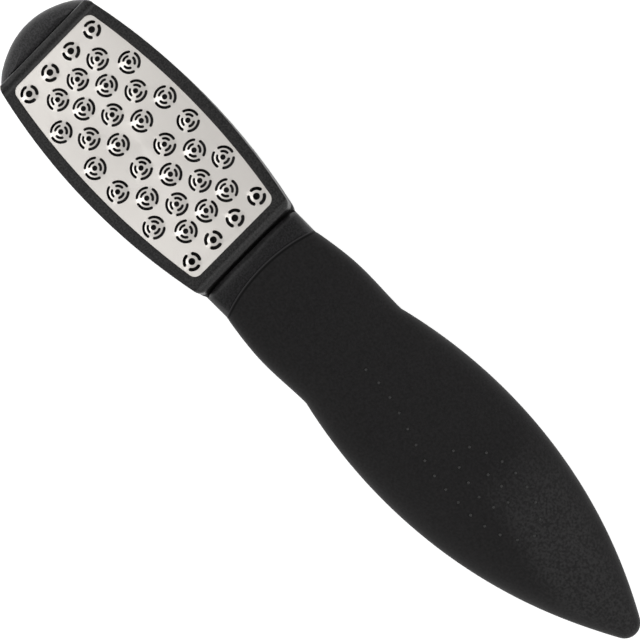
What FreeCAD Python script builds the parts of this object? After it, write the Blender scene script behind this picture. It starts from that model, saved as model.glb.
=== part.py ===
import FreeCAD, Part
import math
import os

# Callus shaver: a long leaf-shaped hand rasp for hard skin, lying rasp side up.
# Lengths are in millimetres. +X runs from the nose of the head to the tip of the handle,
# +Y is across, +Z is up. The origin is on the table under the middle of the overall length.

V = FreeCAD.Vector

# Whole tool
overall_length = 220.0

# Head: it slopes down to the nose, so its own frame is u along, v across, w out of the plate
head_tilt = 9.15                # degrees, nose low
head_depth = 11.0               # from the top of the plate down to the back of the head
head_bow = 3.394                # how much narrower each side is at the ends of the plate
head_back_rounding = 4.0
nose_length = 7.9               # the nose beyond the frame
shoulder_length = 7.6           # from the end of the nose back to the head's sides
nose_height = 0.3               # nose dome above the plate
nose_rounding = 4.6
nose_corner_radius = 4.9        # more than the rounding of the nose's edge
base_corner_radius = 5.5        # corners of the head's base at the neck end
nose_flat_depth = 0.35          # how deep the resting flat cuts into the lowest edge of the nose

# Rasp plate: stainless sheet with groups of round cutting slots
plate_half_length = 34.0        # what shows inside the frame
plate_half_width = 16.64
plate_bow = 2.911               # how much narrower each side is at the ends
plate_corner_radius = 2.2
plate_thickness = 0.5
plate_margin = 1.0              # edge of the sheet hidden under the frame's lip

# Slots of the rasp plate
first_row = 0.125               # shares of the plate's half length: the row beside the middle
row_pitch = 0.1905              # and from one row to the next
group_pitch = [0.499, 0.502, 0.489, 0.429, 0.4525]  # share of the half width, from the middle row out
small_group_lean = 22.5         # degrees, turn of the small groups away from the middle line
centre_hole_radius = 0.68
inner_ring_radius = 1.52
inner_slot_width = 0.62
outer_ring_radius = 2.65
outer_slot_width = 0.7
small_hole_radius = 0.88
small_ring_radius = 1.99
small_slot_width = 0.82
bridge_width = 0.92             # metal left between two slots of one ring

# Plate frame: the bezel that clamps the plate on the head
frame_side = 3.23               # width beside the plate, at the middle of the long sides
frame_nose_band = 3.2           # width at the nose
frame_neck_band = 3.95          # width at the neck
frame_land = 0.5                # frame above the plate
frame_depth = 4.8               # frame below the plate's top, where it sits on the head
frame_bevel = 0.35              # bevel round the window
frame_edge = 1.0                # rounding of the outer top edge
frame_corner_radius = 2.5       # corners at the neck end
ridge_width = 1.6               # raised ridge along each end
ridge_height = 1.0
ridge_slope = 0.7               # run of the ridge's inner slope
neck_slot = 1.05                # gap between the frame and the neck
fit_clearance = 0.15            # between frame and head
spare = 1.0                     # how far a block runs on past the face that it cuts or joins

# Tray of the head, under the plate
rim_wall = 1.6
dust_depth = 3.6                # hollow that takes the filings

# Neck and handle
neck_length = 4.6               # from the slot to the seam, on the middle line
neck_narrowing = 4.52           # how much narrower the neck is than the head, on each side
neck_height = 0.4               # top of the neck above the plate's plane
neck_fall = 0.2                 # how much lower the neck's top is at the seam
neck_root = 10.0                # how far ahead of the seam the neck's form starts, inside the head
base_overlap = 1.5              # how far the head's base runs on under the neck
seam_bow = 2.6                  # how far the seam sweeps back at the sides
seam_gap = 0.45                 # width of the groove there
lobe_half_width = 17.1          # the finger lobe
waist_half_width = 16.75
palm_half_width = 20.8          # widest place of the handle
collar_share = 0.93             # share of the neck's width and height that runs on under the grip
collar_length = 2.5             # how far it runs on
tang_root = 2.0                 # how far the tang starts ahead of the seam
tang_width = 0.62               # share of the handle's width and height that the tang takes
tang_height = 0.54
tang_bends = 6                  # straight lengths that the tang is made of

# Places along the handle, as shares of its length from the seam to the tip
arch_place = 0.06
lobe_place = 0.139
waist_place = 0.235
palm_place = 0.484
tail_place = 0.774
tang_place = 0.865              # where the tang ends
heel_place = 0.932              # where the handle touches the table

# Heights of the handle's top and underside above the table, along its middle line
arch_top = 24.0
arch_under = 12.5
waist_top = 22.4
waist_under = 8.4
palm_top = 19.6
palm_under = 3.5
tail_top = 14.0
tail_under = 0.7
heel_top = 9.5
heel_flat_depth = 0.15          # how deep the resting flat cuts into the heel
tip_top = 7.9
tip_under = 1.0
station_step = 8.0              # spacing of the sections that shape the handle
tail_steps = [0, 0.5, 0.8, 1]   # closer sections before the tip, as shares of one such step
tip_steps = [0.3, 0.6, 0.82, 0.95]  # and round the tip, as shares of its arc
quarter_sides = 5               # straight sides in a quarter of a section

# How square the sections are: near 1 a rounded rectangle, 0.55 an ellipse
neck_fullness = 0.82
seam_fullness = 0.8
waist_fullness = 0.66
palm_fullness = 0.6
tip_fullness = 0.56

# Values worked out from the ones above
tilt = math.radians(head_tilt)
tip_x = overall_length / 2
nose_x = -overall_length / 2
back_level = -head_depth
head_half_width = plate_half_width + frame_side
neck_half_width = head_half_width - neck_narrowing
head_side_radius = (plate_half_length ** 2 + head_bow ** 2) / (2 * head_bow)
plate_side_radius = (plate_half_length ** 2 + plate_bow ** 2) / (2 * plate_bow)
frame_nose_end = plate_half_length + frame_nose_band    # these three from the plate's centre
frame_neck_end = plate_half_length + frame_neck_band
nose_reach = frame_nose_end + nose_length

# Place of the plate's centre: the nose ends at nose_x and its flat lies on the table
head_x = nose_x + nose_rounding + (nose_reach - nose_rounding) * math.cos(tilt)
head_x += (nose_height - nose_rounding) * math.sin(tilt)
head_z = head_back_rounding - nose_flat_depth
head_z += (nose_reach - head_back_rounding) * math.sin(tilt)
head_z -= (back_level + head_back_rounding) * math.cos(tilt)

# The seam where the soft grip starts, on the middle line, and the places along the handle
seam_x = head_x + (frame_neck_end + neck_slot) * math.cos(tilt) + neck_length
neck_x = seam_x - neck_root
handle_length = tip_x - seam_x
arch_x = seam_x + arch_place * handle_length
lobe_x = seam_x + lobe_place * handle_length
waist_x = seam_x + waist_place * handle_length
palm_x = seam_x + palm_place * handle_length
tail_x = seam_x + tail_place * handle_length
tang_end_x = seam_x + tang_place * handle_length
heel_x = seam_x + heel_place * handle_length

# The side of the leaf is an arc through the waist and the palm
palm_rise = palm_half_width - waist_half_width
leaf_radius = ((palm_x - waist_x) ** 2 + palm_rise ** 2) / (2 * palm_rise)
leaf_centre_y = palm_half_width - leaf_radius

# The tip is an arc tangent to both sides of the leaf, which fixes its radius
tip_reach = tip_x - palm_x
tip_radius = (leaf_radius ** 2 - tip_reach ** 2 - leaf_centre_y ** 2) / (2 * (leaf_radius - tip_reach))
tip_centre_x = tip_x - tip_radius
tip_angle = math.asin((tip_centre_x - palm_x) / (leaf_radius - tip_radius))
tip_start_x = tip_centre_x + tip_radius * math.sin(tip_angle)


def in_head(shape):
    """Turn a shape made in the head's own frame into its place on the tool."""
    shape.rotate(V(0, 0, 0), V(0, 1, 0), -head_tilt)
    shape.translate(V(head_x, 0, head_z))
    return shape


def head_plane_z(x, level):
    """Height above the table of the head's plane at this level, at a place along X."""
    u = (x - head_x + level * math.sin(tilt)) / math.cos(tilt)
    return head_z + u * math.sin(tilt) + level * math.cos(tilt)


def arc(start, middle, end):
    return Part.Arc(start, middle, end).toShape()


def slab(edges, low, high):
    """A plate of the closed outline, between two levels."""
    face = Part.Face(Part.Wire(Part.__sortEdges__(edges)))
    face.translate(V(0, 0, low))
    return face.extrude(V(0, 0, high - low))


def upright_edges(solid):
    """Edges that stand straight up, which are the corners of an outline."""
    found = []
    for edge in solid.Edges:
        low, high = edge.BoundBox.ZMin, edge.BoundBox.ZMax
        if edge.BoundBox.XLength < 1e-6 and edge.BoundBox.YLength < 1e-6 and high > low:
            found.append(edge)
    return found


def edges_at(solid, level):
    """Edges that lie flat at one level."""
    found = []
    for edge in solid.Edges:
        box = edge.BoundBox
        if abs(box.ZMin - level) < 1e-4 and abs(box.ZMax - level) < 1e-4:
            found.append(edge)
    return found


def barrel(half_length, half_width, side_radius, corner, low, high):
    """A slab with straight ends and bowed sides, as the plate and its window have."""
    end = half_width - side_radius + math.sqrt(side_radius ** 2 - half_length ** 2)
    edges = []
    for side in (1, -1):
        edges.append(arc(V(-half_length, side * end, 0), V(0, side * half_width, 0),
                         V(half_length, side * end, 0)))
        edges.append(Part.makeLine(V(side * half_length, -end, 0), V(side * half_length, end, 0)))
    solid = slab(edges, low, high)
    return solid.makeFillet(corner, upright_edges(solid))


def side_at(u):
    """Half width of the head at a place along it."""
    return head_half_width - head_side_radius + math.sqrt(head_side_radius ** 2 - u ** 2)


def shoulder():
    """Where the bow of the head's side meets the arc of the nose."""
    u = shoulder_length - nose_reach
    return V(u, side_at(u), 0)


def head_outline(neck_end):
    """Outline of the head from the tip of the nose to a straight end at the neck."""
    corner = shoulder()
    end = side_at(neck_end)
    edges = [arc(V(corner.x, -corner.y, 0), V(-nose_reach, 0, 0), corner)]
    middle_u = (corner.x + neck_end) / 2
    for side in (1, -1):
        edges.append(arc(V(corner.x, side * corner.y, 0), V(middle_u, side * side_at(middle_u), 0),
                         V(neck_end, side * end, 0)))
    edges.append(Part.makeLine(V(neck_end, -end, 0), V(neck_end, end, 0)))
    return edges


def span(low_u, high_u, low_w, high_w):
    """A block across the whole head, between two places along it and two levels."""
    wide = 4 * head_half_width
    return Part.makeBox(high_u - low_u, wide, high_w - low_w, V(low_u, -wide / 2, low_w))


def ridge_cut():
    """What is taken off above the frame's land, which leaves a ridge along each end."""
    over = ridge_height + spare
    nose_side = -frame_nose_end + ridge_width
    neck_side = frame_neck_end - ridge_width
    points = [V(nose_side, 0, over), V(nose_side, 0, ridge_height),
              V(nose_side + ridge_slope, 0, frame_land), V(neck_side - ridge_slope, 0, frame_land),
              V(neck_side, 0, ridge_height), V(neck_side, 0, over), V(nose_side, 0, over)]
    face = Part.Face(Part.makePolygon(points))
    face.translate(V(0, -2 * head_half_width, 0))
    return face.extrude(V(0, 4 * head_half_width, 0))


def head_prism(neck_end, corner, low, high):
    """The head's outline as a slab, with its shoulders and the corners at the neck rounded."""
    prism = slab(head_outline(neck_end), low, high)
    neck_corners = [e for e in upright_edges(prism) if e.BoundBox.XMin > 0]
    prism = prism.makeFillet(corner, neck_corners)
    shoulders = [e for e in upright_edges(prism) if e.BoundBox.XMin < 0]
    return prism.makeFillet(nose_corner_radius, shoulders)


def sheet_outline(grow, low, high):
    """The whole sheet with the edge that lies hidden under the lip, made larger by grow."""
    margin = plate_margin + grow
    return barrel(plate_half_length + margin, plate_half_width + margin,
                  plate_side_radius + margin, plate_corner_radius + margin, low, high)


def plate_frame():
    """Moulded bezel: an outer skirt, a lip over the plate's edge and a ridge at each end."""
    frame = head_prism(frame_neck_end, frame_corner_radius, -frame_depth, ridge_height)
    frame = frame.cut(span(-2 * nose_reach, -frame_nose_end, -2 * head_depth, head_depth))
    frame = frame.makeFillet(frame_edge, edges_at(frame, ridge_height)).cut(ridge_cut())
    window = barrel(plate_half_length, plate_half_width, plate_side_radius,
                    plate_corner_radius, -frame_depth, ridge_height + spare)
    frame = frame.cut(window)
    frame = frame.makeChamfer(frame_bevel, window_rim(frame))
    return in_head(frame.cut(sheet_outline(fit_clearance, -2 * frame_depth, 0)))


def window_rim(frame):
    """Top edges of the frame's window."""
    rim = []
    for edge in edges_at(frame, frame_land):
        box = edge.BoundBox
        inside_x = box.XMin > -plate_half_length - 1e-4 and box.XMax < plate_half_length + 1e-4
        if inside_x and max(abs(box.YMin), abs(box.YMax)) < plate_half_width + 1e-4:
            rim.append(edge)
    return rim


def ring_slots(radius, width, turn, chords):
    """Three slots round a ring, straight between their chords, with bridges of metal between."""
    inner = radius - width / 2
    outer = radius + width / 2
    half = math.pi / 3 - math.asin(bridge_width / 2 / radius)
    slots = []
    for third in range(3):
        middle = math.radians(turn + 60 + 120 * third)
        rim = []
        for r, count, way in ((outer, 2, 1), (inner, chords, -1)):
            for i in range(count + 1):
                angle = middle + way * half * (2 * i / count - 1)
                rim.append(V(r * math.cos(angle), r * math.sin(angle), 0))
        slots.append(Part.makePolygon(rim + [rim[0]]))
    return slots


def round_hole(radius):
    """A small hole with few sides."""
    sides = 6
    points = [V(radius * math.cos(2 * math.pi * i / sides), radius * math.sin(2 * math.pi * i / sides), 0)
              for i in range(sides)]
    return Part.makePolygon(points + [points[0]])


def large_group(turn):
    """Outlines of one large group: a hole inside two rings of three slots."""
    rings = ring_slots(inner_ring_radius, inner_slot_width, turn, 1)
    rings += ring_slots(outer_ring_radius, outer_slot_width, turn, 2)
    return rings + [round_hole(centre_hole_radius)]


def small_group(turn):
    """Outlines of one small group: a hole inside one ring of three slots."""
    return ring_slots(small_ring_radius, small_slot_width, turn, 2) + [round_hole(small_hole_radius)]


def row_place(row):
    """Place along the plate of the first to fifth row on one side of the middle."""
    return plate_half_length * (first_row + row_pitch * row)


def group_places(row):
    """Places across the plate of the groups of a row."""
    count = 3 if row % 2 else 4
    pitch = plate_half_width * group_pitch[row]
    return [pitch * (i - (count - 1) / 2) for i in range(count)]


def plate_slots():
    """Outlines of all slots, row by row outwards from the middle, first towards the nose."""
    outlines = []
    for side in (-1, 1):
        for row in range(len(group_pitch)):
            for across in group_places(row):
                at = V(side * row_place(row), across, 0)
                if row == len(group_pitch) - 1:
                    group = small_group(small_turn(side, across))
                else:
                    group = large_group(0 if (row % 2 == 0) == (side < 0) else 60)
                for outline in group:
                    outline.translate(at)
                outlines += group
    return outlines


def small_turn(side, across):
    """Turn of a small group, whose slots lean away from the middle line."""
    lean = math.copysign(small_group_lean, across)
    return -lean if side < 0 else 60 + lean


def rasp_plate():
    """Stainless sheet with every slot cut through."""
    sheet = sheet_outline(0, -plate_thickness, 0)
    bottom = [f for f in sheet.Faces if abs(f.BoundBox.ZMax + plate_thickness) < 1e-6][0]
    outlines = [outline.translated(V(0, 0, -plate_thickness)) for outline in plate_slots()]
    face = Part.Face([bottom.OuterWire] + outlines)
    return in_head(face.extrude(V(0, 0, plate_thickness)))


def blend(x, places):
    """Smooth curve through a few places along X, each with its value."""
    for i in range(len(places) - 1):
        if x <= places[i + 1][0] or i == len(places) - 2:
            break
    (x0, y0), (x1, y1) = places[i], places[i + 1]
    slope0 = slope_at(i, places)
    slope1 = slope_at(i + 1, places)
    t = (x - x0) / (x1 - x0)
    step = x1 - x0
    return ((2 * t ** 3 - 3 * t ** 2 + 1) * y0 + (t ** 3 - 2 * t ** 2 + t) * step * slope0
            + (3 * t ** 2 - 2 * t ** 3) * y1 + (t ** 3 - t ** 2) * step * slope1)


def slope_at(i, places):
    """Slope of the smooth curve at one of its places, from its two neighbours."""
    low = max(i - 1, 0)
    high = min(i + 1, len(places) - 1)
    return (places[high][1] - places[low][1]) / (places[high][0] - places[low][0])


def top_line(x):
    """Height of the neck's and handle's top along the middle line."""
    places = [(neck_x, head_plane_z(neck_x, neck_height)),
              (seam_x, head_plane_z(seam_x, neck_height) - neck_fall), (arch_x, arch_top),
              (waist_x, waist_top), (palm_x, palm_top), (tail_x, tail_top), (heel_x, heel_top),
              (tip_start_x, tip_top)]
    return blend(x, places)


def under_line(x):
    """Height of the neck's and handle's underside along the middle line."""
    places = [(neck_x, head_plane_z(neck_x, back_level)), (seam_x, head_plane_z(seam_x, back_level)),
              (arch_x, arch_under), (waist_x, waist_under), (palm_x, palm_under), (tail_x, tail_under),
              (heel_x, -heel_flat_depth), (tip_start_x, tip_under)]
    return blend(x, places)


def half_width(x):
    """Half width of the neck and handle: neck, finger lobe, waist, leaf and rounded tip."""
    lobe_start = seam_x + seam_bow
    if x <= lobe_start:
        return neck_half_width
    if x <= lobe_x:
        share = (x - lobe_start) / (lobe_x - lobe_start)
        return neck_half_width + (lobe_half_width - neck_half_width) * math.sin(math.pi / 2 * share)
    if x <= waist_x:
        share = (x - lobe_x) / (waist_x - lobe_x)
        return waist_half_width + (lobe_half_width - waist_half_width) * (1 + math.cos(math.pi * share)) / 2
    if x <= tip_start_x:
        return leaf_centre_y + math.sqrt(leaf_radius ** 2 - (x - palm_x) ** 2)
    return math.sqrt(tip_radius ** 2 - (x - tip_centre_x) ** 2)


def fullness(x):
    """How square the section is at x."""
    return blend(x, [(neck_x, neck_fullness), (seam_x, seam_fullness), (waist_x, waist_fullness),
                     (palm_x, palm_fullness), (tip_x, tip_fullness)])


def quarter(full, share):
    """Point of a section's quarter, from its widest place (share 0) to its top (share 1)."""
    rest = 1 - share
    out = rest ** 3 + 3 * rest ** 2 * share + 3 * rest * share ** 2 * full
    up = 3 * rest ** 2 * share * full + 3 * rest * share ** 2 + share ** 3
    return out, up


def section(x, size=1.0):
    """Closed outline across the handle at x, or a smaller one round the same middle."""
    place = min(x, tip_start_x)
    wide = half_width(x) * size
    middle = (top_line(place) + under_line(place)) / 2
    tall = (top_line(place) - middle) * wide / half_width(place)
    curve = [quarter(fullness(place), i / quarter_sides) for i in range(quarter_sides + 1)]
    upper = curve + [(-out, up) for out, up in curve[-2::-1]]
    lower = [(out, -up) for out, up in upper[-2:0:-1]]
    points = [V(x, out * wide, middle + up * tall) for out, up in upper + lower]
    return Part.makePolygon(points + [points[0]])


def stations(start, end):
    """Places along X from start to end, evenly spaced."""
    count = max(2, round((end - start) / station_step))
    return [start + (end - start) * i / count for i in range(count + 1)]


def seam_cylinder(grow):
    """Upright cylinder whose front is the seam between the neck and the soft grip."""
    radius = (neck_half_width ** 2 + seam_bow ** 2) / (2 * seam_bow)
    return Part.makeCylinder(radius + grow, overall_length, V(seam_x + radius, 0, -overall_length / 2))


def neck():
    """Neck of the core, which ends at the seam."""
    solid = Part.makeLoft([section(x) for x in stations(neck_x, lobe_x)], True, True)
    return solid.cut(seam_cylinder(seam_gap))


def collar():
    """Step of the neck that runs on under the grip's front edge and closes the seam."""
    solid = Part.makeLoft([section(x, collar_share) for x in stations(neck_x, lobe_x)], True, True)
    return solid.cut(seam_cylinder(-collar_length))


def tang():
    """Flat tongue of the core inside the soft grip, cut to the handle's plan and side view."""
    start = seam_x - tang_root
    places = [start + (tang_end_x - start) * i / tang_bends for i in range(tang_bends + 1)]
    middles = [(top_line(x) + under_line(x)) / 2 for x in places]
    halves = [(top_line(x) - under_line(x)) / 2 * tang_height for x in places]
    plan = [V(x, half_width(x) * tang_width, 0) for x in places]
    side = [V(x, 0, middle + half) for x, middle, half in zip(places, middles, halves)]
    plan += [V(p.x, -p.y, 0) for p in plan[::-1]]
    side += [V(x, 0, middle - half) for x, middle, half in zip(places, middles, halves)][::-1]
    plan_face = Part.Face(Part.makePolygon(plan + [plan[0]]))
    side_face = Part.Face(Part.makePolygon(side + [side[0]])).translated(V(0, -palm_half_width, 0))
    upright = plan_face.extrude(V(0, 0, 2 * arch_top))
    return upright.common(side_face.extrude(V(0, 2 * palm_half_width, 0)))


def leaf():
    """The whole outer form of the grip, from ahead of the seam to the tip."""
    last = tip_start_x - station_step
    places = stations(neck_x, last)[:-1]
    places += [last + station_step * share for share in tail_steps]
    for share in tip_steps:
        angle = tip_angle + (math.pi / 2 - tip_angle) * share
        places.append(tip_centre_x + tip_radius * math.sin(angle))
    return Part.makeLoft([section(x) for x in places], True, True)


def table():
    """The table under the tool, which trims the nose and the heel to small flats."""
    return Part.makeBox(2 * overall_length, overall_length, head_depth,
                        V(-overall_length, -overall_length / 2, -head_depth))


def ahead_of_seam():
    """Block that holds everything on the head's side of the seam."""
    size = 2 * palm_half_width
    block = Part.makeBox(size, 2 * size, 2 * size, V(seam_x - size / 2, -size, -size / 2))
    return block.cut(seam_cylinder(0))


def soft_grip():
    """Soft leaf moulded over the tang, with its front edge swept along the seam."""
    return leaf().cut(ahead_of_seam()).cut(collar()).cut(tang()).cut(table())


def handle_core():
    """Head tray with its nose, neck and tang, moulded as one."""
    neck_end = frame_neck_end + neck_slot
    head = head_prism(neck_end + base_overlap, base_corner_radius, back_level, nose_height)
    head = head.makeFillet(nose_rounding, edges_at(head, nose_height))
    head = head.makeFillet(head_back_rounding, edges_at(head, back_level))
    core = in_head(head).fuse(neck()).fuse(collar())
    room = span(-frame_nose_end - fit_clearance, neck_end, -frame_depth, 3 * head_depth)
    core = core.cut(in_head(room))
    core = core.fuse(in_head(tray_rim())).fuse(tang())
    core = core.cut(in_head(dust_hollow()))
    return core.cut(table()).removeSplitter()


def tray_rim():
    """Wall inside the frame that presses the plate up against the frame's lip."""
    return sheet_outline(0, -frame_depth - spare, -plate_thickness)


def dust_hollow():
    return sheet_outline(-rim_wall, -plate_thickness - dust_depth, 0)


def main():
    os.makedirs("parts", exist_ok=True)
    pieces = {"rasp_plate": rasp_plate(), "plate_frame": plate_frame(),
              "handle_core": handle_core(), "soft_grip": soft_grip()}
    for name, shape in pieces.items():
        shape.exportStep(os.path.join("parts", name + ".step"))
        print(name, len(shape.Solids), "solid", round(shape.Volume), "cubic mm")


if __name__ == "__main__":
    main()
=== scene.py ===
import bpy
import bmesh
import math
from mathutils import Matrix, Vector


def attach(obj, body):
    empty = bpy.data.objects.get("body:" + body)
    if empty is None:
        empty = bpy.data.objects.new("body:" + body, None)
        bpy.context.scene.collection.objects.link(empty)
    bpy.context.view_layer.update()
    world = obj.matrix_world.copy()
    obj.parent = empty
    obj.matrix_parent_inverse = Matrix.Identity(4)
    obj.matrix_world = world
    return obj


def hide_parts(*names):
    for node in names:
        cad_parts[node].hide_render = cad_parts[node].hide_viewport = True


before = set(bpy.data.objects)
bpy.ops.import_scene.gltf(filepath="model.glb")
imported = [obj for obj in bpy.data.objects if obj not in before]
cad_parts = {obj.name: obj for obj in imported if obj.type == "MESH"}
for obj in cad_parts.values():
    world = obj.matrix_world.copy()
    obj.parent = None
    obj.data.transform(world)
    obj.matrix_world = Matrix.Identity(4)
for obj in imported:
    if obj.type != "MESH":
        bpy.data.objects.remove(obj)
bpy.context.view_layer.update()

# Handle core: head tray with its rounded nose, neck and tang, one injection moulding in
# black plastic with a fine spark-eroded grain. The plate and its frame snap onto it, and the
# soft grip is moulded over the tang.
MM = 0.001
same_corner = 0.002 * MM        # corners closer than this are one


def stand(name, data):
    """New object in the scene, at the origin."""
    made = bpy.data.objects.new(name, data)
    bpy.context.scene.collection.objects.link(made)
    return made


def even_flats(piece):
    """Flat faces keep their own shading beside a rounding."""
    even = piece.modifiers.new("even_flats", "WEIGHTED_NORMAL")
    even.keep_sharp = True


def smooth_copy(node, name, sharp_angle):
    """Copy of a CAD node with its corners joined, smooth except at edges sharper than the angle."""
    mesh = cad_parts[node].data.copy()
    mesh.name = name
    joined = bmesh.new()
    joined.from_mesh(mesh)
    bmesh.ops.remove_doubles(joined, verts=joined.verts, dist=same_corner)
    joined.to_mesh(mesh)
    joined.free()
    mesh.shade_smooth()
    mesh.set_sharp_from_angle(angle=math.radians(sharp_angle))
    piece = stand(name, mesh)
    even_flats(piece)
    return piece


def dress(piece, material):
    """The piece gets this one material."""
    piece.data.materials.clear()
    piece.data.materials.append(material)


def new_material(name):
    """New material, with its node tree, its shader and the place on the piece, in metres."""
    material = bpy.data.materials.new(name)
    material.use_nodes = True
    tree = material.node_tree
    coords = tree.nodes.new("ShaderNodeTexCoord")
    return material, tree, tree.nodes["Principled BSDF"], coords.outputs["Object"]


def join(tree, value, socket):
    """The socket takes this node's first output, this output or this constant."""
    if isinstance(value, bpy.types.Node):
        value = value.outputs[0]
    if isinstance(value, bpy.types.NodeSocket):
        tree.links.new(value, socket)
    else:
        socket.default_value = value


def reckon(tree, operation, *values):
    """Arithmetic on constants, nodes or their outputs."""
    node = tree.nodes.new("ShaderNodeMath")
    node.operation = operation
    for value, socket in zip(values, node.inputs):
        join(tree, value, socket)
    return node.outputs[0]


def grain(tree, place, scale, detail, stretch=None):
    """Noise over the piece, finer with a larger scale; stretch scales it apart along each axis."""
    noise = tree.nodes.new("ShaderNodeTexNoise")
    noise.inputs["Scale"].default_value = scale
    noise.inputs["Detail"].default_value = detail
    if stretch:
        mapping = tree.nodes.new("ShaderNodeMapping")
        mapping.inputs["Scale"].default_value = stretch
        join(tree, place, mapping.inputs["Vector"])
        place = mapping.outputs["Vector"]
    join(tree, place, noise.inputs["Vector"])
    return noise.outputs["Fac"]


def spread(tree, value, low, high, start=0.3, end=0.7):
    """The value from start to end becomes low to high, a number or a colour."""
    if isinstance(low, tuple):
        ramp = tree.nodes.new("ShaderNodeValToRGB")
        for stop, position, colour in zip(ramp.color_ramp.elements, (start, end), (low, high)):
            stop.position = position
            stop.color = colour + (1,)
        join(tree, value, ramp.inputs["Fac"])
        return ramp.outputs["Color"]
    reach = tree.nodes.new("ShaderNodeMapRange")
    for name, number in (("From Min", start), ("From Max", end), ("To Min", low), ("To Max", high)):
        reach.inputs[name].default_value = number
    join(tree, value, reach.inputs["Value"])
    return reach.outputs["Result"]


def along(tree, place, direction, start, end, low, high):
    """A number that changes from low to high between two levels along a direction, in metres."""
    dot = tree.nodes.new("ShaderNodeVectorMath")
    dot.operation = "DOT_PRODUCT"
    dot.inputs[1].default_value = direction
    join(tree, place, dot.inputs[0])
    return spread(tree, dot.outputs["Value"], low, high, start, end)


def band(tree, place, start, end, level):
    """This level along X from the ramp at the start to the ramp at the end, and 0 outside."""
    return reckon(tree, "MINIMUM", along(tree, place, (1, 0, 0), *start, 0.0, level),
                  along(tree, place, (1, 0, 0), *end, level, 0.0))


def roughen(tree, shader, value, distance, strength):
    """Bump of this depth, in metres."""
    bump = tree.nodes.new("ShaderNodeBump")
    bump.inputs["Strength"].default_value = strength
    bump.inputs["Distance"].default_value = distance
    join(tree, value, bump.inputs["Height"])
    join(tree, bump, shader.inputs["Normal"])


def tint(tree, shader, share, colour, blend="MIX"):
    """The base colour so far is blended with another one where the share is above 0."""
    mixed = tree.nodes.new("ShaderNodeMix")
    mixed.data_type = "RGBA"
    mixed.blend_type = blend
    join(tree, share, mixed.inputs["Factor"])
    join(tree, shader.inputs["Base Color"].links[0].from_socket, mixed.inputs["A"])
    mixed.inputs["B"].default_value = colour + (1,)
    join(tree, mixed.outputs["Result"], shader.inputs["Base Color"])


def moulded_plastic(name, dark, pale, rough_low, rough_high):
    """Black moulded plastic: fine eroded grain that glints, and slightly uneven gloss."""
    material, tree, shader, place = new_material(name)
    clouds = grain(tree, place, scale=90, detail=4)
    fine = grain(tree, place, scale=2300, detail=1)
    join(tree, spread(tree, fine, dark, pale, 0.35, 0.65), shader.inputs["Base Color"])
    join(tree, spread(tree, clouds, rough_low, rough_high), shader.inputs["Roughness"])
    roughen(tree, shader, fine, distance=0.03 * MM, strength=1.0)
    return material, tree, shader, place


core_plastic, tree, shader, place = moulded_plastic(
    "core_plastic", (0.005, 0.0048, 0.0052), (0.030, 0.029, 0.031), 0.40, 0.50)
# The neck is duller and darker than the nose. Near its front it gets a painted sheen, stronger on
# one side, and a painted highlight on its front edge, both as a higher specular level. Each ramp
# runs along X, the last one across, in metres.
neck_start = (-0.036, -0.032)
painted_sheen_end = (-0.0275, -0.0245)
edge_end = (-0.0277, -0.0262)
painted_sheen_side = (-0.004, 0.004)
neck_sheen = along(tree, place, (1, 0, 0), *neck_start, 0.38, 0.2)
# painted sheen near the neck's front, and a painted highlight on its front edge
neck_painted_sheen = reckon(tree, "MULTIPLY", band(tree, place, neck_start, painted_sheen_end, 0.1),
                along(tree, place, (0, -1, 0), *painted_sheen_side, 0.2, 1.0))
neck_painted_sheen = reckon(tree, "ADD", neck_painted_sheen, band(tree, place, neck_start, edge_end, 0.4))
join(tree, reckon(tree, "ADD", neck_sheen, neck_painted_sheen), shader.inputs["Specular IOR Level"])
tint(tree, shader, along(tree, place, (1, 0, 0), *neck_start, 0.0, 1.0), (0.45, 0.44, 0.45), "MULTIPLY")

# Lengths from here on are in millimetres. The head has a frame of its own: its origin is the
# middle of the plate's top, X runs along the plate to the neck, and Z out of the plate.
head_x = -66.099
head_z = 17.097
head_tilt = math.radians(9.15)
head_place = Matrix.Translation(Vector((head_x, 0, head_z)) * MM) @ Matrix.Rotation(-head_tilt, 4, "Y")
frame_nose_end = -37.35         # in the head's frame, like the next few
nose_top = 0.3
nose_edge_low = -4.5            # the nose's rear edge, beside the frame, is changed above this level
nose_close = 0.12               # it stands this much closer to the frame
nose_rise = 0.45                # and its top slopes up by this much to the frame's ridge
nose_fill = 0.5                 # the nose is wider by this at its shoulders, which stay full
nose_shoulder = (8.0, 12.5)     # between these places across
neck_front = 39.0
neck_forward = 0.2              # the neck stands this much closer to the frame
neck_half_width = 15.35
neck_corner = (12.0, 15.0)      # places across where the neck's corners at the seam are eased
neck_ease = (0.3, 0.25)         # by this much back, and in
seam_x = -22.995                # the seam on the middle line, along the whole tool
seam_bow = 2.6                  # the seam sweeps back by this at the sides
seam_gap = 0.45
seam_radius = (neck_half_width ** 2 + seam_bow ** 2) / (2 * seam_bow)
near = 0.05                     # points this close to an edge belong to it


def rise(value, start, end):
    """0 up to the start, 1 from the end on."""
    return min(max((value - start) / (end - start), 0), 1)


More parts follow.
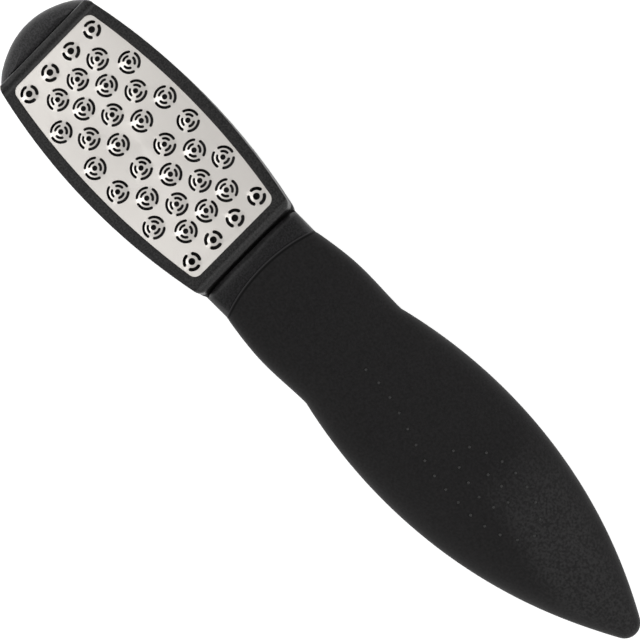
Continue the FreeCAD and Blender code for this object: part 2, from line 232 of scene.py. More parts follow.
def finish_core(mesh):
    """Small forms that the solids leave plain, made by moving the moulding's own points."""
    for vertex in mesh.vertices:
        x, y = vertex.co.x / MM, vertex.co.y / MM
        own = head_place.inverted() @ vertex.co / MM
        if own.x < frame_nose_end + near:
            own.y += math.copysign(nose_fill * rise(abs(y), *nose_shoulder), y)
            if own.x > frame_nose_end - near and own.z > nose_edge_low:
                own.x += nose_close
                own.z += nose_rise * rise(own.z, nose_top - 2 * near, nose_top - near)
            vertex.co = head_place @ (own * MM)
        elif abs(own.x - neck_front) < near:
            own.x -= neck_forward
            vertex.co = head_place @ (own * MM)
        elif abs(math.hypot(x - seam_x - seam_radius, y) - seam_radius - seam_gap) < near:
            share = rise(abs(y), *neck_corner)
            vertex.co.x += neck_ease[0] * share * MM
            vertex.co.y -= math.copysign(neck_ease[1] * share * MM, y)


core = smooth_copy("handle_core", "core_moulding", sharp_angle=32)
finish_core(core.data)
dress(core, core_plastic)
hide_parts("handle_core")
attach(core, "root")

# Rasp plate: stainless sheet with 36 shallow pressed domes, each with a hole and one or two
# rings of three curved cutting slots. It is stamped from flat stock, and clamped by its edge
# between the tray's rim and the frame's lip.
plate_half_length = 34.0
plate_half_width = 16.64
plate_side_radius = 200.0
plate_corner = 2.2
corner_steps = 8
plate_margin = 1.0              # edge hidden under the frame's lip
first_row = 0.125               # rows of groups, as shares of the half length
row_pitch = 0.1905
row_places = [plate_half_length * (first_row + row_pitch * row) for row in range(5)]
group_pitch = [plate_half_width * share for share in (0.499, 0.502, 0.489, 0.429, 0.4525)]
row_turn = 60                   # degrees, turn of every second row
small_lean = 22.5               # degrees, turn of the small groups away from the middle line
plate_sizes = {
    "Sheet thickness": 0.5, "Bridge width": 0.92,
    "Dome radius": 3.2, "Dome height": 0.42, "Hole radius": 0.70,
    "Inner ring radius": 1.52, "Inner slot width": 0.70,
    "Outer ring radius": 2.65, "Outer slot width": 0.72,
    "Small dome radius": 2.7, "Small dome height": 0.34, "Small hole radius": 0.90,
    "Small ring radius": 1.99, "Small slot width": 0.88,
}
rim_points = 48                 # a dome's rim is the same in the dome and in the sheet round it
hole_points = 24
slot_points = 44
OUTLINE, LARGE, SMALL = 0.0, 1.0, 2.0   # kinds of points that the plate is made from


def barrel_outline(half_length, half_width, side_radius, corner, steps):
    """Points of an outline with straight ends, bowed sides and round corners, anticlockwise."""
    centre = half_width - side_radius
    inner = half_length - corner
    corner_v = centre + math.sqrt((side_radius - corner) ** 2 - inner ** 2)
    side_lean = math.asin(inner / (side_radius - corner))
    right_top = []
    for i in range(steps + 1):
        angle = (math.pi / 2 - side_lean) * i / steps
        right_top.append((inner + corner * math.cos(angle), corner_v + corner * math.sin(angle)))
    for i in range(1, steps * 2 + 1):
        angle = side_lean * (1 - i / (steps * 2))
        right_top.append((side_radius * math.sin(angle), centre + side_radius * math.cos(angle)))
    top = right_top + [(-u, v) for u, v in right_top[-2::-1]]
    return top + [(u, -v) for u, v in top[::-1]]


class Nodes:
    """Short way to write a Geometry Nodes tree with named inputs and one output."""

    def __init__(self, name, inputs, output):
        self.tree = bpy.data.node_groups.new(name, "GeometryNodeTree")
        for label, kind in inputs:
            self.tree.interface.new_socket(label, in_out="INPUT", socket_type="NodeSocket" + kind)
        self.tree.interface.new_socket(output, in_out="OUTPUT", socket_type="NodeSocketGeometry")
        self.given = {socket.name: socket for socket in self.tree.nodes.new("NodeGroupInput").outputs}

    def give(self, geometry):
        """This is what the tree gives out."""
        join(self.tree, geometry, self.tree.nodes.new("NodeGroupOutput").inputs[0])
        return self.tree

    def add(self, kind, settings=None, **inputs):
        """A node of this kind; its inputs are given by name, with _ for a space."""
        node = self.tree.nodes.new(kind)
        for key, value in (settings or {}).items():
            setattr(node, key, value)
        for key, value in inputs.items():
            wanted = key.replace("_", " ").lower()
            sockets = [socket for socket in node.inputs if socket.name.lower() == wanted and socket.enabled]
            join(self.tree, value, sockets[0])
        return node

    def group(self, tree, *values):
        """Another tree as one node, with its inputs in order."""
        node = self.add("GeometryNodeGroup", {"node_tree": tree})
        for value, socket in zip(values, node.inputs):
            join(self.tree, value, socket)
        return node

    def math(self, operation, *values):
        return reckon(self.tree, operation, *values)

    def xyz(self, x, y, z):
        node = self.add("ShaderNodeCombineXYZ")
        for value, socket in zip((x, y, z), node.inputs):
            join(self.tree, value, socket)
        return node

    def position(self):
        """X, Y and Z of each point."""
        node = self.add("ShaderNodeSeparateXYZ")
        join(self.tree, self.add("GeometryNodeInputPosition"), node.inputs[0])
        return node.outputs

    def attribute(self, name, kind="FLOAT"):
        node = self.add("GeometryNodeInputNamedAttribute", {"data_type": kind}, Name=name)
        return node.outputs["Attribute"]

    def merge(self, *parts):
        node = self.add("GeometryNodeJoinGeometry")
        for part in reversed(parts):
            join(self.tree, part, node.inputs[0])
        return node


def slot_ring_tree():
    """Outlines of three slots round a ring, with round ends and bridges between them."""
    n = Nodes("slot_ring", [(size, "Float") for size in ("Ring radius", "Slot width", "Bridge width")],
              "Outlines")
    radius = n.given["Ring radius"]
    half_slot = n.math("MULTIPLY", n.given["Slot width"], 0.5)
    half_bridge = n.math("MULTIPLY", n.given["Bridge width"], 0.5)
    bridge_angle = n.math("ARCSINE", n.math("DIVIDE", half_bridge, radius))
    half_angle = n.math("SUBTRACT", math.pi / 3, bridge_angle)
    straight = n.math("SUBTRACT", n.math("MULTIPLY", half_angle, radius), half_slot)
    circle = n.add("GeometryNodeCurvePrimitiveCircle", Resolution=32, Radius=1.0)
    x, y, z = n.position()
    end = n.math("MULTIPLY", n.math("SIGN", x), straight)
    stadium = n.add("GeometryNodeSetPosition", Geometry=circle, Position=n.xyz(
        n.math("ADD", end, n.math("MULTIPLY", x, half_slot)), n.math("MULTIPLY", y, half_slot), 0.0))
    spaced = n.add("GeometryNodeResampleCurve", Curve=stadium, Count=slot_points)
    x, y, z = n.position()
    angle = n.math("DIVIDE", x, radius)
    reach = n.math("ADD", y, radius)
    bent = n.add("GeometryNodeSetPosition", Geometry=spaced, Position=n.xyz(
        n.math("MULTIPLY", reach, n.math("COSINE", angle)),
        n.math("MULTIPLY", reach, n.math("SINE", angle)), 0.0))
    thirds = n.add("GeometryNodePoints", Count=3)
    turn = n.math("MULTIPLY", n.add("GeometryNodeInputIndex"), math.radians(120))
    turn = n.math("ADD", turn, math.radians(60))
    copies = n.add("GeometryNodeInstanceOnPoints", Points=thirds, Instance=bent,
                   Rotation=n.xyz(0.0, 0.0, turn))
    return n.give(n.add("GeometryNodeRealizeInstances", Geometry=copies))


def slot_dome_tree(ring_tree):
    """One pressed dome: a disc with a hole and up to two rings of slots, raised in the middle."""
    sizes = ("Dome radius", "Dome height", "Hole radius", "Ring radius", "Slot width",
             "Second ring radius", "Second slot width", "Bridge width")
    n = Nodes("slot_dome", [(size, "Float") for size in sizes] + [("Second ring", "Bool")], "Dome")
    given = n.given
    radius = given["Dome radius"]
    rim = n.add("GeometryNodeCurvePrimitiveCircle", Resolution=rim_points, Radius=radius)
    hole = n.add("GeometryNodeCurvePrimitiveCircle", Resolution=hole_points, Radius=given["Hole radius"])
    first = n.group(ring_tree, given["Ring radius"], given["Slot width"], given["Bridge width"])
    second = n.group(ring_tree, given["Second ring radius"], given["Second slot width"],
                     given["Bridge width"])
    switch = n.add("GeometryNodeSwitch", {"input_type": "GEOMETRY"}, Switch=given["Second ring"])
    join(n.tree, second, switch.inputs["True"])
    disc = n.add("GeometryNodeFillCurve", Curve=n.merge(rim, hole, first, switch))
    x, y, z = n.position()
    square = n.math("ADD", n.math("MULTIPLY", x, x), n.math("MULTIPLY", y, y))
    share = n.math("DIVIDE", square, n.math("MULTIPLY", radius, radius))
    fall = n.math("MAXIMUM", n.math("SUBTRACT", 1.0, share), 0.0)
    lift = n.math("MULTIPLY", n.math("MULTIPLY", fall, fall), given["Dome height"])
    return n.give(n.add("GeometryNodeSetPosition", Geometry=disc, Offset=n.xyz(0.0, 0.0, lift)))


def rasp_plate_tree(dome_tree):
    """The whole plate from its outline and the points where the groups of slots lie."""
    n = Nodes("rasp_plate_maker", [("Outline and places", "Geometry")]
              + [(size, "Float") for size in plate_sizes] + [("Steel", "Material")], "Plate")
    given = n.given
    points = given["Outline and places"]
    kind = n.attribute("kind")
    turn = n.xyz(0.0, 0.0, n.attribute("turn"))
    between = (OUTLINE + LARGE) / 2
    outline = n.add("GeometryNodeMeshToCurve", Mesh=points, Selection=n.math("LESS_THAN", kind, between))
    places = n.add("GeometryNodeMeshToPoints", Mesh=points,
                   Selection=n.math("GREATER_THAN", kind, between))
    rims = []
    domes = []
    for wanted, names in (
            (LARGE, ("Dome radius", "Dome height", "Hole radius", "Outer ring radius", "Outer slot width")),
            (SMALL, ("Small dome radius", "Small dome height", "Small hole radius", "Small ring radius",
                     "Small slot width"))):
        names += ("Inner ring radius", "Inner slot width", "Bridge width")
        dome = n.group(dome_tree, *[given[name] for name in names], wanted == LARGE)
        rim = n.add("GeometryNodeCurvePrimitiveCircle", Resolution=rim_points, Radius=given[names[0]])
        for made, source in ((domes, dome), (rims, rim)):
            copies = n.add("GeometryNodeInstanceOnPoints", Points=places, Instance=source, Rotation=turn,
                           Selection=n.math("COMPARE", kind, wanted, 0.1))
            made.append(n.add("GeometryNodeRealizeInstances", Geometry=copies))
    sheet = n.add("GeometryNodeFillCurve", Curve=n.merge(outline, *rims))
    top = n.add("GeometryNodeMergeByDistance", Geometry=n.merge(sheet, *domes), Distance=same_corner)
    down = n.xyz(0.0, 0.0, n.math("MULTIPLY", given["Sheet thickness"], -1.0))
    walls = n.add("GeometryNodeExtrudeMesh", Mesh=top, Offset=down, Individual=False)
    body = n.merge(top, n.add("GeometryNodeFlipFaces", Mesh=walls))
    closed = n.add("GeometryNodeMergeByDistance", Geometry=body, Distance=same_corner)
    solid = n.add("GeometryNodeRealizeInstances", Geometry=closed)
    return n.give(n.add("GeometryNodeSetMaterial", Geometry=solid, Material=given["Steel"]))


def plate_places():
    """Outline of the sheet and the 36 places of its slot groups, each with its kind and turn."""
    outline = barrel_outline(plate_half_length + plate_margin, plate_half_width + plate_margin,
                             plate_side_radius + plate_margin, plate_corner + plate_margin, corner_steps)
    points = [(u * MM, v * MM, 0) for u, v in outline]
    edges = [(i, (i + 1) % len(points)) for i in range(len(points))]
    kinds = [OUTLINE] * len(points)
    turns = [0.0] * len(points)
    for side in (-1, 1):
        for row, place in enumerate(row_places):
            last = row == len(row_places) - 1
            count = 3 if row % 2 else 4
            for i in range(count):
                across = group_pitch[row] * (i - (count - 1) / 2)
                lean = math.copysign(small_lean, across)
                if last:
                    turn = -lean if side < 0 else row_turn + lean
                else:
                    turn = 0 if (row % 2 == 0) == (side < 0) else row_turn
                points.append((side * place * MM, across * MM, 0))
                kinds.append(SMALL if last else LARGE)
                turns.append(math.radians(turn))
    mesh = bpy.data.meshes.new("plate_places")
    mesh.from_pydata(points, edges, [])
    mesh.attributes.new("kind", "FLOAT", "POINT").data.foreach_set("value", kinds)
    mesh.attributes.new("turn", "FLOAT", "POINT").data.foreach_set("value", turns)
    return mesh


def run_tree(name, mesh, tree, values, sharp_angle):
    """Plain mesh object that the tree makes from this mesh, with its inputs set by name."""
    seed = stand(name + "_seed", mesh)
    modifier = seed.modifiers.new("maker", "NODES")
    modifier.node_group = tree
    for item in tree.interface.items_tree:
        if item.in_out == "INPUT" and item.name in values:
            modifier[item.identifier] = values[item.name]
    shape = seed.evaluated_get(bpy.context.evaluated_depsgraph_get())
    made = bpy.data.meshes.new_from_object(shape)
    made.name = name
    seed.modifiers.clear()
    bpy.data.objects.remove(seed)
    for label in ("kind", "turn"):
        if label in made.attributes:
            made.attributes.remove(made.attributes[label])
    made.shade_smooth()
    made.set_sharp_from_angle(angle=math.radians(sharp_angle))
    return stand(name, made)


steel, tree, shader, place = new_material("satin_steel")
brushed = grain(tree, place, scale=260, detail=5, stretch=(0.25, 6.0, 1.0))
patches = grain(tree, place, scale=60, detail=3)
speckle = grain(tree, place, scale=2600, detail=1)
join(tree, spread(tree, patches, (0.690, 0.662, 0.628), (0.715, 0.686, 0.651)),
     shader.inputs["Base Color"])
join(tree, spread(tree, brushed, 0.31, 0.39), shader.inputs["Roughness"])
roughen(tree, shader, speckle, distance=0.006 * MM, strength=0.5)
shader.inputs["Metallic"].default_value = 1.0
shader.inputs["Anisotropic"].default_value = 0.3

plate_values = {name: size * MM for name, size in plate_sizes.items()}
plate_values["Steel"] = steel
plate_tree = rasp_plate_tree(slot_dome_tree(slot_ring_tree()))
plate = run_tree("rasp_sheet", plate_places(), plate_tree, plate_values, sharp_angle=35)
plate.data.transform(head_place)
even_flats(plate)
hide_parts("rasp_plate")
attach(plate, "root")

# Plate frame: moulded bezel in the same black plastic, with a raised ridge across each end and
# a thin bevel round its window. Its skirt snaps over the tray, and its lip clamps the plate.
frame_plastic, tree, shader, place = moulded_plastic(
    "frame_plastic", (0.004, 0.004, 0.004), (0.0225, 0.0215, 0.0215), 0.36, 0.46)
own_along = head_place.to_3x3() @ Vector((1, 0, 0))
head_start = own_along.dot(head_place.translation)
reach = 40.0                    # the sheen is given this far ahead of the plate's middle and behind it
side_sheen = 0.44
# Painted light at places along the head, as specular level: painted highlights on the frame's nose
# end, the ridge and the window's bevel, and painted shade in the creases at the ridges' feet.
painted_light_stops = ((-37.6, 0.9), (-37.0, 0.9), (-36.7, 0.46), (-35.7, 0.44), (-35.3, 0.22),
               (-34.9, 0.22), (-34.75, 0.3), (-34.55, 0.62), (-33.9, 0.62), (-33.8, 0.26),
               (35.2, 0.24), (35.6, 0.18), (36.0, 0.18), (36.4, side_sheen))
sheen = tree.nodes.new("ShaderNodeValToRGB")
for u, level in painted_light_stops:
    stop = sheen.color_ramp.elements.new((u + reach) / (2 * reach))
    stop.color = (level, level, level, 1)
for stop in (sheen.color_ramp.elements[0], sheen.color_ramp.elements[-1]):
    stop.color = (side_sheen, side_sheen, side_sheen, 1)
share = along(tree, place, own_along, head_start - reach * MM, head_start + reach * MM, 0.0, 1.0)
join(tree, share, sheen.inputs["Fac"])
join(tree, sheen.outputs["Color"], shader.inputs["Specular IOR Level"])

corner_across = 14.0            # the corners beside the nose begin this far out
corner_range = (-35.4, -37.2)   # and between these places along the head
corner_ease = 0.5               # they are rounded off by this
bezel = smooth_copy("plate_frame", "bezel_moulding", sharp_angle=30)
for vertex in bezel.data.vertices:
    own = head_place.inverted() @ vertex.co / MM
    if abs(own.y) > corner_across:
        own.y -= math.copysign(corner_ease * rise(own.x, *corner_range) ** 2, own.y)
        vertex.co = head_place @ (own * MM)
dress(bezel, frame_plastic)
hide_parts("plate_frame")
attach(bezel, "root")

# Soft grip: leaf-shaped skin of black thermoplastic rubber, moulded over the tang. It starts at
# the swept seam behind the neck, thickens into a finger lobe and a palm swell, and ends in a
# small rounded tip.
tip_x = 110.0
neck_x = seam_x - 10.0
neck_height = 0.4               # top of the neck above the plate's top
neck_fall = 0.2                 # and how much lower it is at the seam
head_depth = 11.0
lobe_half_width = 17.1
waist_half_width = 16.75
palm_half_width = 20.8
tang_width = 0.62               # shares of the grip's width and height that its hollow takes
tang_height = 0.54
arch_x, lobe_x, waist_x, palm_x, tail_x, tang_end_x, heel_x = [
    seam_x + share * (tip_x - seam_x) for share in (0.06, 0.139, 0.235, 0.484, 0.774, 0.865, 0.932)]
leaf_radius = ((palm_x - waist_x) ** 2 + (palm_half_width - waist_half_width) ** 2)
leaf_radius /= 2 * (palm_half_width - waist_half_width)
leaf_centre_y = palm_half_width - leaf_radius
tip_reach = tip_x - palm_x
tip_radius = (leaf_radius ** 2 - tip_reach ** 2 - leaf_centre_y ** 2) / (2 * (leaf_radius - tip_reach))
tip_centre_x = tip_x - tip_radius
tip_angle = math.asin((tip_centre_x - palm_x) / (leaf_radius - tip_radius))
tip_start_x = tip_centre_x + tip_radius * math.sin(tip_angle)


def head_plane_z(x, level):
    """Height above the table of the head's plane at this level."""
    u = (x - head_x + level * math.sin(head_tilt)) / math.cos(head_tilt)
    return head_z + u * math.sin(head_tilt) + level * math.cos(head_tilt)


def blend(x, places):
    """Smooth curve through a few places along X, each with its value."""
    i = 0
    while i < len(places) - 2 and x > places[i + 1][0]:
        i += 1

    def slope(k):
        low, high = max(k - 1, 0), min(k + 1, len(places) - 1)
        return (places[high][1] - places[low][1]) / (places[high][0] - places[low][0])

    (x0, y0), (x1, y1) = places[i], places[i + 1]
    step = x1 - x0
    t = (x - x0) / step
    return ((2 * t ** 3 - 3 * t ** 2 + 1) * y0 + (t ** 3 - 2 * t ** 2 + t) * step * slope(i)
            + (3 * t ** 2 - 2 * t ** 3) * y1 + (t ** 3 - t ** 2) * step * slope(i + 1))


# Heights of the top and the underside, and how square the sections are (0.55 is an ellipse)
top_places = [(neck_x, head_plane_z(neck_x, neck_height)),
              (seam_x, head_plane_z(seam_x, neck_height) - neck_fall), (arch_x, 24.0),
              (waist_x, 22.4), (palm_x, 19.6), (tail_x, 14.0), (heel_x, 9.5), (tip_start_x, 7.9)]
under_places = [(neck_x, head_plane_z(neck_x, -head_depth)), (seam_x, head_plane_z(seam_x, -head_depth)),
                (arch_x, 12.5), (waist_x, 8.4), (palm_x, 3.5), (tail_x, 0.7), (heel_x, -0.15),
                (tip_start_x, 1.0)]
full_places = [(neck_x, 0.82), (seam_x, 0.8), (waist_x, 0.66), (palm_x, 0.6), (tip_x, 0.56)]


def half_width(x):
    """Half width of the grip: finger lobe, waist, leaf and rounded tip."""
    lobe_start = seam_x + seam_bow
    if x <= lobe_start:
        return neck_half_width
    if x <= lobe_x:
        share = (x - lobe_start) / (lobe_x - lobe_start)
        return neck_half_width + (lobe_half_width - neck_half_width) * math.sin(math.pi / 2 * share)
    if x <= waist_x:
        share = (x - lobe_x) / (waist_x - lobe_x)
        return waist_half_width + (lobe_half_width - waist_half_width) * (1 + math.cos(math.pi * share)) / 2
    if x <= tip_start_x:
        return leaf_centre_y + math.sqrt(leaf_radius ** 2 - (x - palm_x) ** 2)
    return math.sqrt(max(tip_radius ** 2 - (x - tip_centre_x) ** 2, 0))


def skin_point(x, turn, inset=0.0):
    """Point of the grip's surface at x, by its share of a turn round the section."""
    place = min(x, tip_start_x)
    wide = half_width(x)
    high, low = blend(place, top_places), blend(place, under_places)
    middle = (high + low) / 2
    tall = (high - low) / 2 * wide / half_width(place)
    full = blend(place, full_places)
    quarter, share = divmod(turn % 1.0 * 4, 1)
    if quarter % 2:
        share = 1 - share
    rest = 1 - share
    out = rest ** 3 + 3 * rest ** 2 * share + 3 * rest * share ** 2 * full
    up = 3 * rest ** 2 * share * full + 3 * rest * share ** 2 + share ** 3
    out *= 1 if quarter in (0, 3) else -1
    up *= 1 if quarter < 2 else -1
    return Vector((x, out * (wide - inset), max(middle + up * (tall - inset), 0)))


def seam_at(y):
    """Where the swept seam lies along X at a place across."""
    return seam_x + seam_radius - math.sqrt(seam_radius ** 2 - y ** 2)


# Rows at the seam, each by its distance behind it and its inset: the wall of the groove, the
# rounded lip (the next two), the crease behind it (the next two) and the plain skin
front_rows = ((-0.4, 0.32), (-0.24, 0.08), (0.0, 0.0), (0.25, 0.08), (0.55, 0.06), (0.8, 0.0))
lip_rows = slice(1, 3)
crease_rows = slice(3, 5)
around = 112                    # points round a row
swept_rows = 9                  # rows that lead from the swept front to a straight one
swept_end = 9.0                 # how far behind the seam that one lies
leaf_rows = 120
tip_rows = 12
hollow_rows = 8
crown_range = (0.75, 0.97)      # how far up a face looks, from the sides to the crown of the grip


def grip_mesh():
    """Closed skin: outer rows from the seam to the tip, and the hollow that holds the tang."""
    turns = [i / around for i in range(around)]
    rows = []
    for back, inset in front_rows:
        row = []
        for turn in turns:
            across = skin_point(seam_x + 2, turn).y     # the width hardly changes along the seam
            row.append(skin_point(seam_at(across) + back, turn, inset))
        rows.append(row)
    starts = [point.x for point in rows[-1]]
    front_end = seam_x + swept_end
    for i in range(1, swept_rows + 1):
        rows.append([skin_point(start + (front_end - start) * i / swept_rows, turn)
                     for start, turn in zip(starts, turns)])
    for i in range(1, leaf_rows + 1):
        x = front_end + (tip_start_x - front_end) * i / leaf_rows
        rows.append([skin_point(x, turn) for turn in turns])
    for i in range(1, tip_rows):
        angle = tip_angle + (math.pi / 2 - tip_angle) * math.sin(math.pi / 2 * i / tip_rows)
        x = tip_centre_x + tip_radius * math.sin(angle)
        rows.append([skin_point(x, turn) for turn in turns])
    hollow = []
    for i in range(hollow_rows + 1):
        x = seam_x + (tang_end_x - seam_x) * i / hollow_rows
        high, low = blend(x, top_places), blend(x, under_places)
        wide, tall = half_width(x) * tang_width, (high - low) / 2 * tang_height
        row = []
        for turn in turns:
            out, up = math.cos(2 * math.pi * turn), math.sin(2 * math.pi * turn)
            size = max(abs(out), abs(up))
            y = out / size * wide
            row.append(Vector((x if i else seam_at(y), y, (high + low) / 2 + up / size * tall)))
        hollow.append(row)
    mesh = bmesh.new()
    grid = [[mesh.verts.new(point * MM) for point in row] for row in hollow[::-1] + rows]
    for low_row, high_row in zip(grid, grid[1:]):
        for k in range(around):
            beside = (k + 1) % around
            mesh.faces.new((low_row[k], low_row[beside], high_row[beside], high_row[k]))
    mesh.faces.new(grid[0][::-1])
    pole = mesh.verts.new(Vector((tip_x, 0, skin_point(tip_x - 0.001, 0).z)) * MM)
    for k in range(around):
        mesh.faces.new((grid[-1][k], grid[-1][(k + 1) % around], pole))
    bmesh.ops.recalc_face_normals(mesh, faces=mesh.faces)
    mesh.verts.index_update()
    # the lip's rows are marked for a painted highlight, the crease's rows for painted shade
    front = grid[len(hollow):]
    marks = {name: [vertex.index for row in front[part] for vertex in row]
             for name, part in (("lip", lip_rows), ("crease", crease_rows))}
    made = bpy.data.meshes.new("grip_skin")
    mesh.to_mesh(made)
    mesh.free()
    for name, points in marks.items():
        mark = made.attributes.new(name, "FLOAT", "POINT")
        for index in points:
            mark.data[index].value = 1.0
    crown = made.attributes.new("crown", "FLOAT", "POINT")
    for vertex in made.vertices:
        crown.data[vertex.index].value = rise(vertex.normal.z, *crown_range)
    made.shade_smooth()
    made.set_sharp_from_angle(angle=math.radians(50))
    return made


def marked(tree, name):
    """The mesh's attribute of this name."""
    mark = tree.nodes.new("ShaderNodeAttribute")
    mark.attribute_name = name
    return mark.outputs["Fac"]


rubber, tree, shader, place = new_material("grip_rubber")
clouds = grain(tree, place, scale=70, detail=5)
pebbles = grain(tree, place, scale=1500, detail=3)
join(tree, spread(tree, pebbles, (0.0038, 0.0034, 0.0035), (0.0108, 0.0100, 0.0104)),
     shader.inputs["Base Color"])
# painted highlight on the seam's lip and painted shade in the crease behind it
tint(tree, shader, marked(tree, "lip"), (0.026, 0.025, 0.026))
tint(tree, shader, marked(tree, "crease"), (0.004, 0.004, 0.004))
join(tree, spread(tree, clouds, 0.56, 0.66), shader.inputs["Roughness"])
roughen(tree, shader, pebbles, distance=0.03 * MM, strength=0.8)
# Painted sheen: the crown of the tail gets a higher specular level, more so towards the tip and
# one side, with painted glints in it, and the crease a lower one, a painted shade
crown_painted_sheen = reckon(tree, "MINIMUM", along(tree, place, (1, 0, 0), 0.051, 0.067, 0.0, 1.0),
              along(tree, place, (1, 3.7, 0), 0.047, 0.070, 0.0, 1.0))
crown_painted_sheen = reckon(tree, "MULTIPLY", crown_painted_sheen, marked(tree, "crown"))
gloss = reckon(tree, "MULTIPLY_ADD", crown_painted_sheen, spread(tree, pebbles, 0.06, 0.22, 0.4, 0.6), 0.19)
gloss = reckon(tree, "MULTIPLY_ADD", marked(tree, "crease"), -0.1, gloss)
join(tree, gloss, shader.inputs["Specular IOR Level"])
grip = stand("grip_skin", grip_mesh())
dress(grip, rubber)
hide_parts("soft_grip")
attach(grip, "root")

# Grip dots: small raised dots of the same rubber, moulded with the grip in a line that runs from
# the waist to the palm and curls inward there, so that wet fingers find a hold.
line_start = Vector((12.7, 0.2))
lead_sag = 0.45                 # how much the lead-in bends, as a share of its way across
curl_centre = Vector((55.6, 0.35))
curl_outer = Vector((16.4, 7.7))    # half length and half width where the curl begins
curl_inner = Vector((6.0, 2.95))    # and where it ends
curl_begin = -107                   # angles round the curl, in degrees
curl_end = 480
curl_shorter = (119, 269)           # it gets shorter between these angles
curl_slimmer = (82, 207)            # and narrower between these
lead_steps = 12
curl_steps = 60
line_height = 30.0                  # the line lies clear above the grip


def ease(value, start=0, end=1):
    """Smooth rise from 0 at the start to 1 at the end."""
    share = rise(value, start, end)
    return share * share * (3 - 2 * share)


def curl_points():
    """Line of the dots seen from above: a lead-in along the grip, then a flat inward curl."""
    def curl(degrees):
        length = curl_outer.x + (curl_inner.x - curl_outer.x) * ease(degrees, *curl_shorter)
        width = curl_outer.y + (curl_inner.y - curl_outer.y) * ease(degrees, *curl_slimmer)
        angle = math.radians(degrees)
        return curl_centre + Vector((length * math.cos(angle), width * math.sin(angle)))

    points = []
    way = curl(curl_begin) - line_start
    for i in range(lead_steps + 1):
        share = i / lead_steps
        bent = (1 + lead_sag) * ease(share) - lead_sag * share
        points.append(line_start + Vector((way.x * share, way.y * bent)))
    for i in range(1, curl_steps + 1):
        points.append(curl(curl_begin + (curl_end - curl_begin) * i / curl_steps))
    return points


def dot_tree():
    """Low round dots, evenly spaced along a line and set down on the grip under it."""
    n = Nodes("dot_maker", [("Line", "Geometry"), ("Grip", "Object"), ("Dot spacing", "Float"),
                            ("Dot radius", "Float"), ("Dot height", "Float"), ("Rubber", "Material")], "Dots")
    given = n.given
    line = n.add("GeometryNodeMeshToCurve", Mesh=given["Line"])
    spaced = n.add("GeometryNodeCurveToPoints", {"mode": "LENGTH"}, Curve=line, Length=given["Dot spacing"])
    grip_shape = n.add("GeometryNodeObjectInfo", Object=given["Grip"])
    ray = n.add("GeometryNodeRaycast", Ray_Direction=(0.0, 0.0, -1.0), Ray_Length=0.1,
                Target_Geometry=grip_shape.outputs["Geometry"])
    lean = n.add("FunctionNodeAlignRotationToVector", {"axis": "Z"}, Vector=ray.outputs["Hit Normal"])
    kept = n.add("GeometryNodeStoreNamedAttribute", {"data_type": "QUATERNION", "domain": "POINT"},
                 Geometry=spaced, Name="lean", Value=lean)
    landed = n.add("GeometryNodeSetPosition", Geometry=kept, Position=ray.outputs["Hit Position"])
    ball = n.add("GeometryNodeMeshUVSphere", Segments=20, Rings=12, Radius=1.0)
    flat = n.xyz(given["Dot radius"], given["Dot radius"], given["Dot height"])
    copies = n.add("GeometryNodeInstanceOnPoints", Points=landed, Instance=ball, Scale=flat,
                   Rotation=n.attribute("lean", "QUATERNION"))
    solid = n.add("GeometryNodeRealizeInstances", Geometry=copies)
    return n.give(n.add("GeometryNodeSetMaterial", Geometry=solid, Material=given["Rubber"]))


# The dots are paler than the grip's rubber: a painted highlight for the light their tops catch.
dot_rubber, tree, shader, place = new_material("dot_rubber")
uneven = grain(tree, place, scale=900, detail=2)
join(tree, spread(tree, uneven, (0.013, 0.0125, 0.0125), (0.026, 0.025, 0.025)),
     shader.inputs["Base Color"])
shader.inputs["Roughness"].default_value = 0.4
shader.inputs["Specular IOR Level"].default_value = 0.4
line_points = [(point.x * MM, point.y * MM, line_height * MM) for point in curl_points()]
line_mesh = bpy.data.meshes.new("dot_line")
line_mesh.from_pydata(line_points, [(i, i + 1) for i in range(len(line_points) - 1)], [])
dot_values = {"Grip": grip, "Dot spacing": 4.48 * MM, "Dot radius": 0.40 * MM, "Dot height": 0.3 * MM,
              "Rubber": dot_rubber}
dots = run_tree("grip_dots", line_mesh, dot_tree(), dot_values, sharp_angle=50)
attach(dots, "root")

# Plain white studio: a floor that is white to the camera and keeps the shadow, a soft sky that is
# brighter low down, a soft box high ahead of the nose that shows in the plate, another behind the
# tip, and the camera.


def seen_directly(tree):
    """1 for camera, glossy and transmission rays, which see the white background."""
    path = tree.nodes.new("ShaderNodeLightPath")
    seen = path.outputs["Is Camera Ray"]
    for name in ("Is Glossy Ray", "Is Transmission Ray"):
        seen = reckon(tree, "MAXIMUM", seen, path.outputs[name])
    return seen


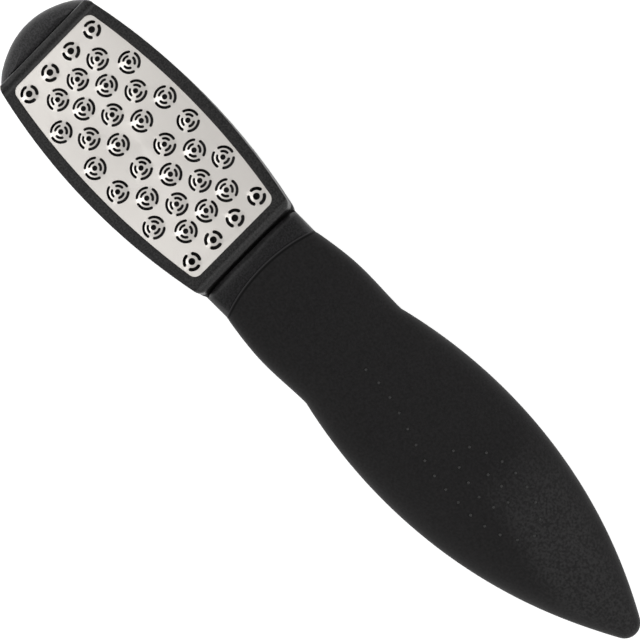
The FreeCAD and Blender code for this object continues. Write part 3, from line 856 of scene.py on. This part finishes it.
floor_size = 3.0
floor_lift = 0.60               # glow that makes the floor white to the camera
floor_mesh = bpy.data.meshes.new("floor")
floor_mesh.from_pydata([(-floor_size, -floor_size, 0), (floor_size, -floor_size, 0),
                        (floor_size, floor_size, 0), (-floor_size, floor_size, 0)], [], [(0, 1, 2, 3)])
floor = stand("floor", floor_mesh)
floor_white, tree, shader, place = new_material("floor_white")
shader.inputs["Base Color"].default_value = (0.95, 0.95, 0.95, 1)
shader.inputs["Roughness"].default_value = 0.9
shader.inputs["Emission Color"].default_value = (1, 1, 1, 1)
join(tree, spread(tree, seen_directly(tree), 0.0, floor_lift, 0.0, 1.0), shader.inputs["Emission Strength"])
floor_mesh.materials.append(floor_white)

sky_low = 1.0                   # brightness of the sky at the horizon
sky_high = 0.65                 # and overhead
world = bpy.data.worlds.new("sky")
bpy.context.scene.world = world
world.use_nodes = True
tree = world.node_tree
background = tree.nodes["Background"]
background.inputs["Color"].default_value = (1, 1, 1, 1)
direction = tree.nodes.new("ShaderNodeTexCoord")
parts = tree.nodes.new("ShaderNodeSeparateXYZ")
join(tree, direction.outputs["Generated"], parts.inputs[0])
shade = spread(tree, parts.outputs["Z"], sky_low, sky_high, 0.1, 0.95)
path = tree.nodes.new("ShaderNodeLightPath")
pick = tree.nodes.new("ShaderNodeMix")
join(tree, path.outputs["Is Camera Ray"], pick.inputs["Factor"])
join(tree, shade, pick.inputs["A"])
pick.inputs["B"].default_value = 1.0
join(tree, pick.outputs["Result"], background.inputs["Strength"])


def soft_box(name, place, target, size, power):
    """Square area lamp that points at a target."""
    lamp = bpy.data.lights.new(name, "AREA")
    lamp.shape = "RECTANGLE"
    lamp.size = lamp.size_y = size
    lamp.energy = power
    holder = stand(name, lamp)
    holder.location = place
    holder.rotation_euler = (Vector(target) - Vector(place)).to_track_quat("-Z", "Y").to_euler()


soft_box("nose_box", (-1.02, -0.62, 1.45), (-0.066, 0, 0), 0.6, 2.8)
soft_box("tip_box", (0.75, 0.6, 1.4), (0.08, 0, 0), 0.7, 1.6)

camera = bpy.data.cameras.new("camera")
camera.lens = 93.2
camera.sensor_width = 36
camera.clip_start = 0.01
camera_place = Vector((-3.8, 27.0, 427.9)) * MM
aim = Vector((-4.0, 0.6, 17.0)) * MM
back = (camera_place - aim).normalized()
upward = Vector((-0.706, 0.708, 0))
right = upward.cross(back).normalized()
upward = back.cross(right)
turned = Matrix((right, upward, back)).transposed().to_4x4()
holder = stand("camera", camera)
holder.matrix_world = Matrix.Translation(camera_place) @ turned
bpy.context.scene.camera = holder
bpy.context.scene.view_settings.view_transform = "Standard"
